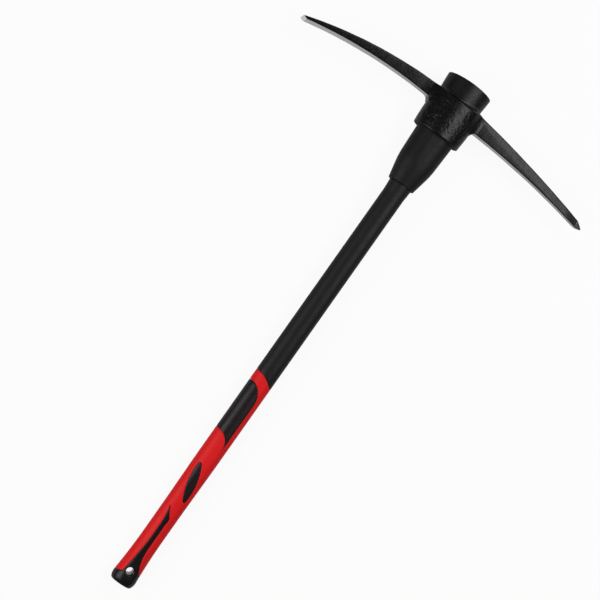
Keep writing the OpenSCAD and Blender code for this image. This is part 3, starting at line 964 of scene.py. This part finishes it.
def leaf_inlay(name, side, material):
    """A black leaf on the front, where side is 1, or on the back, where it is -1."""
    net = skin_net([leaf_edge(0.0)], [INLAY_ROLL], 1.6)
    points, faces = skin_half_shell(net, wall_below(INLAY_WALL))
    return piece(name, points * (1, 1, side), faces, material, smooth_angle=55.0)


def butt_cap(material):
    """The black cap: its tongues, its hang hole, its plug and its rounded butt."""
    edge, sides, rings = cap_edge(0.0), 72, 14
    foot = np.stack(
        [np.linspace(0, HALF_ROUND, sides + 1), np.full(sides + 1, BUTT_HEIGHT)], axis=1
    )
    outline = np.concatenate([
        edge,
        fold_line(0.0, edge[-1, 1], BUTT_HEIGHT, INLAY_ROLL),
        foot,
        fold_line(HALF_ROUND, BUTT_HEIGHT, edge[0, 1], INLAY_ROLL),
    ])
    net = skin_net([outline, hang_hole()], [INLAY_ROLL, HANG_ROLL], 1.7, BUTT_HEIGHT)

    def core(flat, outer):
        """The inner side: right to the middle of the plug, and thin in the tongue above it."""
        solid = flat[:, 1:] < PLUG_HEIGHT
        return np.where(solid, outer * (1, 1, 0), on_skin(flat, np.full(len(flat), INLAY_WALL)))

    points, faces = skin_half_shell(net, core, BUTT_HEIGHT)
    # The butt: rows of points from the foot of the net round to the flat end and its middle
    turns = np.interp(foot[:, 0], OVAL_ROUND, OVAL_TURN)
    rows = []
    for bend in np.linspace(math.pi / 2, 0, rings + 1):
        half = BUTT_FLAT_HALF + (BUTT_HALF - BUTT_FLAT_HALF) * math.sin(bend)
        rows.append((half, BUTT_HEIGHT * (1 - math.cos(bend))))
    rows += [(BUTT_FLAT_HALF * share, 0.0) for share in (0.75, 0.5, 0.25)]
    base = len(points)
    end = [
        (half * math.cos(turn), height, max(0.0, half * SHAFT_ASPECT * math.sin(turn)))
        for half, height in rows
        for turn in turns
    ]
    middle = base + len(end)
    points = np.concatenate([points, end, [(0.0, 0.0, 0.0)]])
    row = sides + 1
    for k in range(len(rows)):
        first = base + k * row
        for j in range(first, first + sides):
            if k + 1 < len(rows):
                faces.append((j, j + 1, j + 1 + row, j + row))
            else:
                faces.append((j, j + 1, middle))
    points, faces = both_halves(points, faces)
    return piece("butt_cap_black", points, faces, material, smooth_angle=55.0)


# Finishes

# Colours, most of them as a deep and a pale shade
BLACK_PAINT = ((0.0016, 0.0016, 0.0018), (0.0036, 0.0036, 0.0039))
PAINT_FLECK = (0.03, 0.03, 0.032)
GROUND_STEEL = ((0.66, 0.66, 0.67), (0.90, 0.90, 0.91))
TIP_STEEL = ((0.22, 0.22, 0.23), (0.34, 0.34, 0.35))
RESIN_BROWN = ((0.022, 0.019, 0.016), (0.042, 0.036, 0.030))
FIBRE_STRAW = ((0.38, 0.30, 0.15), (0.62, 0.54, 0.34))
SAWN_STRAW = (0.30, 0.24, 0.13)
MOULDED_BLACK = ((0.0052, 0.0052, 0.0056), (0.0072, 0.0072, 0.0076))
INLAY_BLACK = ((0.009, 0.0062, 0.0068), (0.0125, 0.0085, 0.0092))
SOFT_RED = ((0.63, 0.009, 0.011), (0.70, 0.011, 0.013))
DUSTY_RED = (0.70, 0.06, 0.06)


class Finish(Wiring):
    """A material of one principled shader, with patterns on the piece's own coordinates."""

    def __init__(self, name, colour, roughness, specular=0.5):
        self.material = bpy.data.materials.new(name)
        self.material.use_nodes = True
        super().__init__(self.material.node_tree)
        self.tree.nodes.clear()
        self.shader = self.node("ShaderNodeBsdfPrincipled")
        self.put("Base Color", (*colour, 1))
        self.put("Roughness", roughness)
        self.put("Specular IOR Level", specular)
        output = self.node("ShaderNodeOutputMaterial")
        self.feed(output.inputs["Surface"], self.shader.outputs[0])
        self.place = self.node("ShaderNodeTexCoord").outputs["Object"]

    def put(self, socket, value):
        self.feed(self.shader.inputs[socket], value)

    def stretched(self, scale):
        """The piece's coordinates, stretched along its axes."""
        mapping = self.node("ShaderNodeMapping")
        self.feed(mapping.inputs["Vector"], self.place)
        mapping.inputs["Scale"].default_value = scale
        return mapping.outputs[0]

    def noise(self, scale, detail=4.0, rough=0.55, place=None):
        """A cloudy pattern from 0 to 1, with a scale in spots to the metre."""
        made = self.node("ShaderNodeTexNoise")
        self.feed(made.inputs["Vector"], place or self.place)
        made.inputs["Scale"].default_value = scale
        made.inputs["Detail"].default_value = detail
        made.inputs["Roughness"].default_value = rough
        return made.outputs[0]

    def spread(self, value, low, high, start=0.0, end=1.0):
        """A value from low to high, stretched to start and end, and held there."""
        made = self.node("ShaderNodeMapRange")
        for socket, number in zip(made.inputs, (value, low, high, start, end)):
            self.feed(socket, number)
        return made.outputs[0]

    def mix(self, share, first, second):
        """A colour between two, by a share."""
        made = self.node("ShaderNodeMix", data_type="RGBA")
        self.feed(made.inputs["Factor"], share)
        for socket, colour in ((made.inputs[6], first), (made.inputs[7], second)):
            self.feed(socket, colour if isinstance(colour, bpy.types.NodeSocket) else (*colour, 1))
        return made.outputs[2]

    def bump(self, height, depth, strength=1.0, before=None):
        """A relief of a depth in metres."""
        made = self.node("ShaderNodeBump")
        made.inputs["Strength"].default_value = strength
        made.inputs["Distance"].default_value = depth
        self.feed(made.inputs["Height"], height)
        if before is not None:
            self.feed(made.inputs["Normal"], before)
        return made.outputs[0]

    def mark(self, name):
        """A number that the piece's own points carry."""
        return self.node("ShaderNodeAttribute", attribute_name=name).outputs["Fac"]

    def axis(self, k):
        """One of the piece's coordinates, in metres."""
        made = self.node("ShaderNodeSeparateXYZ")
        self.feed(made.inputs[0], self.place)
        return made.outputs[k]


def head_paint():
    """Semi-gloss black paint, ground to bare steel at the chisel's bevel and the point's tip."""
    finish = Finish("head_paint_black", (0.006, 0.006, 0.0065), 0.28, 0.22)
    along = finish.axis(0)
    up = finish.axis(1)
    # Bare steel: past a slanted line on the chisel's ground bevel, and at the point's ground tip
    edge_y = (SHOULDER - CHISEL_FALL - BEVEL_LIP - LENGTH / 2) * MM
    slope = (CHISEL_END - BEVEL_LIP) / BEVEL_LENGTH
    under_line = finish.math("MULTIPLY_ADD", finish.math("ADD", along, REACH * MM), -slope, edge_y)
    on_bevel = finish.spread(finish.math("SUBTRACT", up, under_line), 0.0006, 0.0002)
    bevel_x, tip_x = (BEVEL_LENGTH - REACH) * MM, (REACH - TIP_LENGTH) * MM
    near_edge = finish.spread(along, bevel_x + 1.5 * MM, bevel_x)
    ground = finish.math("MULTIPLY", on_bevel, near_edge)
    at_tip = finish.spread(along, tip_x + 2.5 * MM, tip_x + 4 * MM)
    bare = finish.math("MAXIMUM", ground, at_tip)
    grind = finish.noise(900, place=finish.stretched((1.0, 0.2, 6.0)))
    steel = finish.mix(grind, *GROUND_STEEL)
    tip_steel = finish.mix(grind, *TIP_STEEL)
    paint = finish.mix(finish.spread(finish.noise(55), 0.3, 0.7), *BLACK_PAINT)
    fleck = finish.spread(finish.noise(520, 2.0), 0.60, 0.74, 0.0, 0.3)
    paint = finish.mix(fleck, paint, PAINT_FLECK)
    finish.put("Base Color", finish.mix(ground, finish.mix(at_tip, paint, tip_steel), steel))
    finish.put("Metallic", bare)
    gloss = finish.spread(finish.noise(240), 0.3, 0.7, 0.20, 0.34)
    # Dull paint behind the point, where its end was heated to harden it
    heat = finish.spread(along, tip_x - 24 * MM, tip_x - 10 * MM, 0, 0.3)
    dull = finish.math("MULTIPLY", heat, finish.math("SUBTRACT", 1.0, at_tip))
    # Duller paint on the eye, more so on its tube, and most on its lower rim
    shoulder_y = (SHOULDER - LENGTH / 2) * MM
    eye_x = BODY_RADIUS * MM
    on_eye = finish.spread(finish.math("ABSOLUTE", along), eye_x + 6 * MM, eye_x, 0, 0.04)
    on_tube = finish.spread(up, shoulder_y - 1 * MM, shoulder_y + 3 * MM, 0, 0.08)
    on_rim = finish.math("MULTIPLY_ADD", finish.mark("rim"), 0.45, on_eye)
    dull = finish.math("ADD", dull, finish.math("ADD", on_rim, on_tube))
    finish.put("Roughness", finish.math("ADD", gloss, dull))
    # The arms' undersides, which aren't rubbed in use, keep the paint's first gloss
    glossy = finish.math("MULTIPLY", finish.mark("underside"), finish.math("SUBTRACT", 1.0, bare))
    finish.put("Coat Weight", glossy)
    finish.put("Coat Roughness", 0.08)
    orange_peel = finish.bump(finish.noise(900, 3.0), 0.00006, 0.6)
    finish.put("Normal", finish.bump(finish.noise(400, 3.0), 0.0002, 0.6, orange_peel))
    return finish.material


def resin_finish():
    """Dark cast epoxy, glossy, with faint clouds."""
    finish = Finish("eye_resin_dark", (0.03, 0.026, 0.022), 0.2)
    cloud = finish.spread(finish.noise(90), 0.3, 0.7)
    finish.put("Base Color", finish.mix(cloud, *RESIN_BROWN))
    finish.put("Roughness", finish.spread(finish.noise(300), 0.3, 0.7, 0.14, 0.3))
    finish.put("Normal", finish.bump(finish.noise(160), 0.0004, 0.4))
    return finish.material


def fibreglass_finish():
    """The rod's sawn end: straw-coloured resin, speckled with the ends of its fibres."""
    finish = Finish("core_rod_fibreglass", (0.52, 0.43, 0.24), 0.6)
    strands = finish.noise(2600, 2.0, place=finish.stretched((1.0, 0.02, 1.0)))
    saw = finish.noise(700, place=finish.stretched((0.08, 1.0, 1.0)))
    body = finish.mix(finish.spread(strands, 0.4, 0.62), *FIBRE_STRAW)
    sawn = finish.spread(saw, 0.5, 0.8, 0, 0.5)
    finish.put("Base Color", finish.mix(sawn, body, SAWN_STRAW))
    finish.put("Normal", finish.bump(saw, 0.0003, 0.6))
    return finish.material


def moulded_black(name, colours, roughness, specular, grain):
    """Satin black moulded plastic: a fine spark-eroded grain, faint clouds and worn patches."""
    finish = Finish(name, colours[0], roughness, specular)
    cloud = finish.spread(finish.noise(38, place=finish.stretched((1.0, 0.35, 1.0))), 0.3, 0.7)
    finish.put("Base Color", finish.mix(cloud, *colours))
    rub = finish.spread(finish.noise(130), 0.3, 0.7, roughness - 0.05, roughness + 0.06)
    finish.put("Roughness", rub)
    finish.put("Normal", finish.bump(finish.noise(grain, 2.0), 0.00006, 0.5))
    return finish


def cap_black():
    """The cap's satin black, polished in the hang hole by the pin that it was moulded round."""
    finish = moulded_black("cap_black", MOULDED_BLACK, 0.30, 0.20, 2200)
    hole_y = (HANG_HEIGHT - LENGTH / 2) * MM
    across = finish.math("POWER", finish.axis(0), 2.0)
    up = finish.math("POWER", finish.math("SUBTRACT", finish.axis(1), hole_y), 2.0)
    from_pin = finish.math("SQRT", finish.math("ADD", across, up))
    satin, polished = (HANG_RADIUS + 0.8) * MM, (HANG_RADIUS + 0.3) * MM
    finish.put("Coat Weight", finish.spread(from_pin, satin, polished, 0.0, 0.6))
    finish.put("Coat Roughness", 0.08)
    return finish


def grip_red():
    """Satin red soft-touch skin, with a fine grain and slightly deeper and paler patches."""
    finish = Finish("grip_red_soft", (0.66, 0.010, 0.012), 0.46, 0.12)
    cloud = finish.spread(finish.noise(26, place=finish.stretched((1.0, 0.4, 1.0))), 0.3, 0.7)
    red = finish.mix(cloud, *SOFT_RED)
    dust = finish.spread(finish.noise(420, 3.0), 0.62, 0.8, 0.0, 0.12)
    finish.put("Base Color", finish.mix(dust, red, DUSTY_RED))
    finish.put("Roughness", finish.spread(finish.noise(110), 0.3, 0.7, 0.40, 0.52))
    finish.put("Normal", finish.bump(finish.noise(2400, 2.0), 0.00006, 0.6))
    return finish.material


# Stage, lights and camera

FLOOR_REACH = 12.0
FLOOR_GREY = 0.46
FLOOR_GLOW = 1.05
SHOWN_GLOW = 0.88
MIRRORED_GLOW = 0.43
SKY_STRENGTH = 0.1
CAMERA_PLACE = (-406.73, 365.0, 2567.99)
CAMERA_AIM = (-23.72, 491.79, 0.0)
CAMERA_ROLL = 0.61462
SENSOR_WIDTH = 36.0
LENS = 105.39


def tool_point(x, y, z):
    """A point in the tool's millimetres as a vector of the frame."""
    return Vector(in_frame((x, y, z)))


def floor():
    """A wide pale floor that touches the eye's body and the butt. To the camera and in reflections it
    also glows, so that it is nearly white there and still takes a shadow."""
    eye_y = (RIM + (SHOULDER - RIM) * 0.6 - LENGTH / 2) * MM
    butt_y = (BUTT_HEIGHT - LENGTH / 2) * MM
    butt_z = (AXIS_HEIGHT - BUTT_HALF * SHAFT_ASPECT) * MM
    slope = -butt_z / (eye_y - butt_y)
    mesh = bpy.data.meshes.new("floor")
    square = np.array([(-1, -1), (1, -1), (1, 1), (-1, 1)]) * FLOOR_REACH
    corners = [(x, y, slope * (y - eye_y)) for x, y in square]
    mesh.from_pydata(corners, [], [(0, 1, 2, 3)])
    material = bpy.data.materials.new("floor_pale")
    material.use_nodes = True
    wire = Wiring(material.node_tree)
    wire.tree.nodes.clear()
    matt = wire.node("ShaderNodeBsdfDiffuse")
    matt.inputs["Color"].default_value = (FLOOR_GREY, FLOOR_GREY, FLOOR_GREY, 1)
    glow = wire.node("ShaderNodeEmission")
    glow.inputs["Strength"].default_value = FLOOR_GLOW
    path = wire.node("ShaderNodeLightPath").outputs
    mirrored = wire.math("MAXIMUM", path["Is Glossy Ray"], path["Is Transmission Ray"])
    dimmed = wire.math("MULTIPLY", mirrored, MIRRORED_GLOW)
    shown = wire.math("MULTIPLY_ADD", path["Is Camera Ray"], SHOWN_GLOW, dimmed)
    both = wire.node("ShaderNodeMixShader")
    wire.feed(both.inputs[0], shown)
    wire.feed(both.inputs[1], matt.outputs[0])
    wire.feed(both.inputs[2], glow.outputs[0])
    output = wire.node("ShaderNodeOutputMaterial")
    wire.feed(output.inputs["Surface"], both.outputs[0])
    mesh.materials.append(material)
    thing = bpy.data.objects.new("floor", mesh)
    bpy.context.scene.collection.objects.link(thing)


def softbox(name, place, target, size, radiance):
    """A rectangular soft light that faces a target; a wall of its radiance would look that bright."""
    data = bpy.data.lights.new(name, "AREA")
    data.shape = "RECTANGLE"
    data.size, data.size_y = size
    data.energy = radiance * math.pi * size[0] * size[1]
    thing = bpy.data.objects.new(name, data)
    thing.location = place
    thing.rotation_euler = (Vector(target) - Vector(place)).to_track_quat("-Z", "Y").to_euler()
    bpy.context.scene.collection.objects.link(thing)


def lights():
    """A key over the point's side, a small light past the eye, a fill by the grip and a dim sky."""
    softbox("key_light", (1.43, 0.95, 2.3), (1.43, 0.95, 0), (1.56, 1.5), 5.6)
    softbox("eye_light", (0.65, 2.1, 2.3), (0.65, 2.1, 0), (1.2, 0.8), 6.4)
    softbox("fill_light", (-1.9, -0.95, 2.0), (0, -0.35, 0), (1.7, 1.8), 5.8)
    world = bpy.data.worlds.new("studio")
    world.use_nodes = True
    background = world.node_tree.nodes["Background"]
    background.inputs["Color"].default_value = (1, 1, 1, 1)
    background.inputs["Strength"].default_value = SKY_STRENGTH
    bpy.context.scene.world = world


def camera():
    """A camera nearly straight over the lying tool, turned so that the handle runs up to the right."""
    place, aim = tool_point(*CAMERA_PLACE), tool_point(*CAMERA_AIM)
    forward = (aim - place).normalized()
    level = forward.cross(Vector((0, 1, 0))).normalized()
    upright = level.cross(forward)
    right = math.cos(CAMERA_ROLL) * level + math.sin(CAMERA_ROLL) * upright
    up = math.cos(CAMERA_ROLL) * upright - math.sin(CAMERA_ROLL) * level
    data = bpy.data.cameras.new("camera")
    data.sensor_fit = "HORIZONTAL"
    data.sensor_width = SENSOR_WIDTH
    data.lens = LENS
    data.clip_end = 50.0
    thing = bpy.data.objects.new("camera", data)
    turn = Matrix((right, up, -forward)).transposed().to_4x4()
    thing.matrix_world = Matrix.Translation(place) @ turn
    bpy.context.scene.collection.objects.link(thing)
    bpy.context.scene.camera = thing


def dress_tool():
    """Makes every piece and hands it to the frame."""
    shaft_black = moulded_black("shaft_black", MOULDED_BLACK, 0.48, 0.20, 1800).material
    sleeve_black = moulded_black("sleeve_black", MOULDED_BLACK, 0.50, 0.17, 1500).material
    inlay_black = moulded_black("inlay_black", INLAY_BLACK, 0.34, 0.19, 2200).material
    dress(pick_head(head_paint()), "head_paint", "pick_head")
    dress(eye_resin(resin_finish()), "resin", "eye_resin")
    dress(shaft_jacket(shaft_black), "shaft_plastic", "shaft_jacket")
    dress(neck_sleeve(sleeve_black), "sleeve_plastic", "neck_sleeve")
    dress(grip_sleeve(grip_red()), "grip_red", "grip_sleeve")
    dress(shoulder_panel(inlay_black), "grip_black", "shoulder_panel")
    for name, side in (("leaf_inlay_front", 1), ("leaf_inlay_back", -1)):
        dress(leaf_inlay(name + "_black", side, inlay_black), "grip_black", name)
    dress(butt_cap(cap_black().material), "cap_black", "butt_cap")
    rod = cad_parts["core_rod"]
    rod.data.materials.clear()
    rod.data.materials.append(fibreglass_finish())


dress_tool()
floor()
lights()
camera()
bpy.context.scene.view_settings.view_transform = "Standard"
